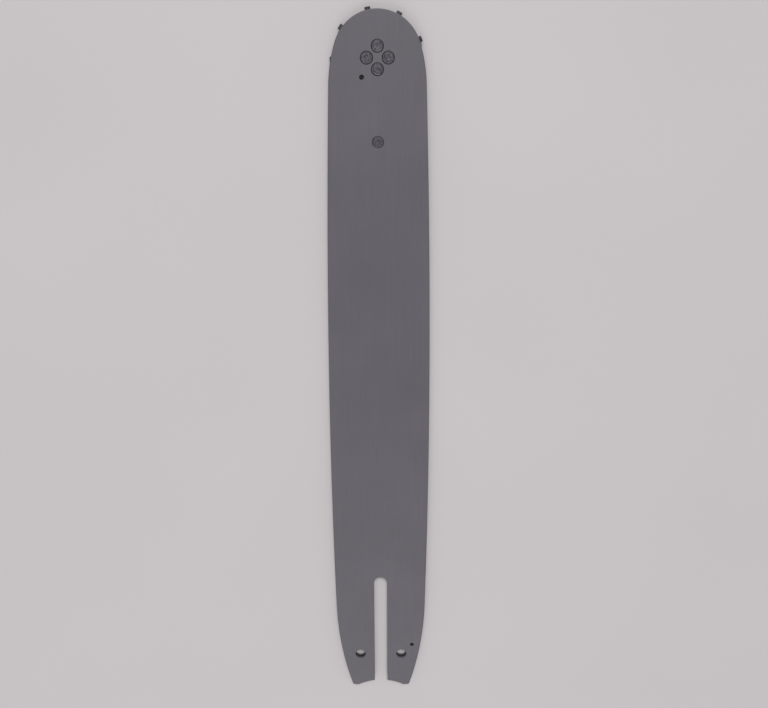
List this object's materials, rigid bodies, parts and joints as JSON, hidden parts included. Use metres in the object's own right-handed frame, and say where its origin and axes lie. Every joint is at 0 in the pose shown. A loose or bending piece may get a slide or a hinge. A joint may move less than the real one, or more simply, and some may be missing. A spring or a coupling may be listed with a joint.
{
  "type": "chainsaw guide bar",
  "caption": "Flat laminated chainsaw guide bar with a grooved rail, a toothed nose sprocket turning on rollers, and an open stud slot at the tail.",
  "frame": {"origin": "on the stud slot's centre line, midway between the two tensioner holes, in the middle of the chain groove", "axes": "+X along the bar to the nose, +Z out of the front face, which is up as the bar lies flat"},
  "size_m": [0.4017, 0.0566, 0.0046],
  "materials": {
    "grey_coated_steel": "satin",
    "core_steel": "satin",
    "hardened_steel": "satin",
    "bearing_steel": "polished",
    "rivet_steel": "satin"
  },
  "bodies": {
    "bar": {"front_side_plate": "grey_coated_steel", "rear_side_plate": "grey_coated_steel", "core_plate": "core_steel", "bearing_race": "bearing_steel", "nose_rivets": "rivet_steel", "body_rivet": "rivet_steel"},
    "sprocket": {"nose_sprocket": "hardened_steel"},
    "rollers": {"bearing_roller_01": "bearing_steel", "bearing_roller_02": "bearing_steel", "bearing_roller_03": "bearing_steel", "bearing_roller_04": "bearing_steel", "bearing_roller_05": "bearing_steel", "bearing_roller_06": "bearing_steel", "bearing_roller_07": "bearing_steel", "bearing_roller_08": "bearing_steel", "bearing_roller_09": "bearing_steel", "bearing_roller_10": "bearing_steel", "bearing_roller_11": "bearing_steel", "bearing_roller_12": "bearing_steel", "bearing_roller_13": "bearing_steel", "bearing_roller_14": "bearing_steel", "bearing_roller_15": "bearing_steel", "bearing_roller_16": "bearing_steel", "bearing_roller_17": "bearing_steel", "bearing_roller_18": "bearing_steel", "bearing_roller_19": "bearing_steel", "bearing_roller_20": "bearing_steel", "bearing_roller_21": "bearing_steel", "bearing_roller_22": "bearing_steel"}
  },
  "joints": [
    {"name": "sprocket_spin", "type": "hinge", "parent": "bar", "child": "sprocket", "pos_m": [0.35435, 0, 0], "axis": [0, 0, 1], "continuous": true},
    {"name": "roller_orbit", "type": "hinge", "parent": "bar", "child": "rollers", "pos_m": [0.35435, 0, 0], "axis": [0, 0, 1], "continuous": true}
  ],
  "couplings": [
    {"joint": "roller_orbit", "follows": "sprocket_spin", "ratio": 0.5682}
  ]
}
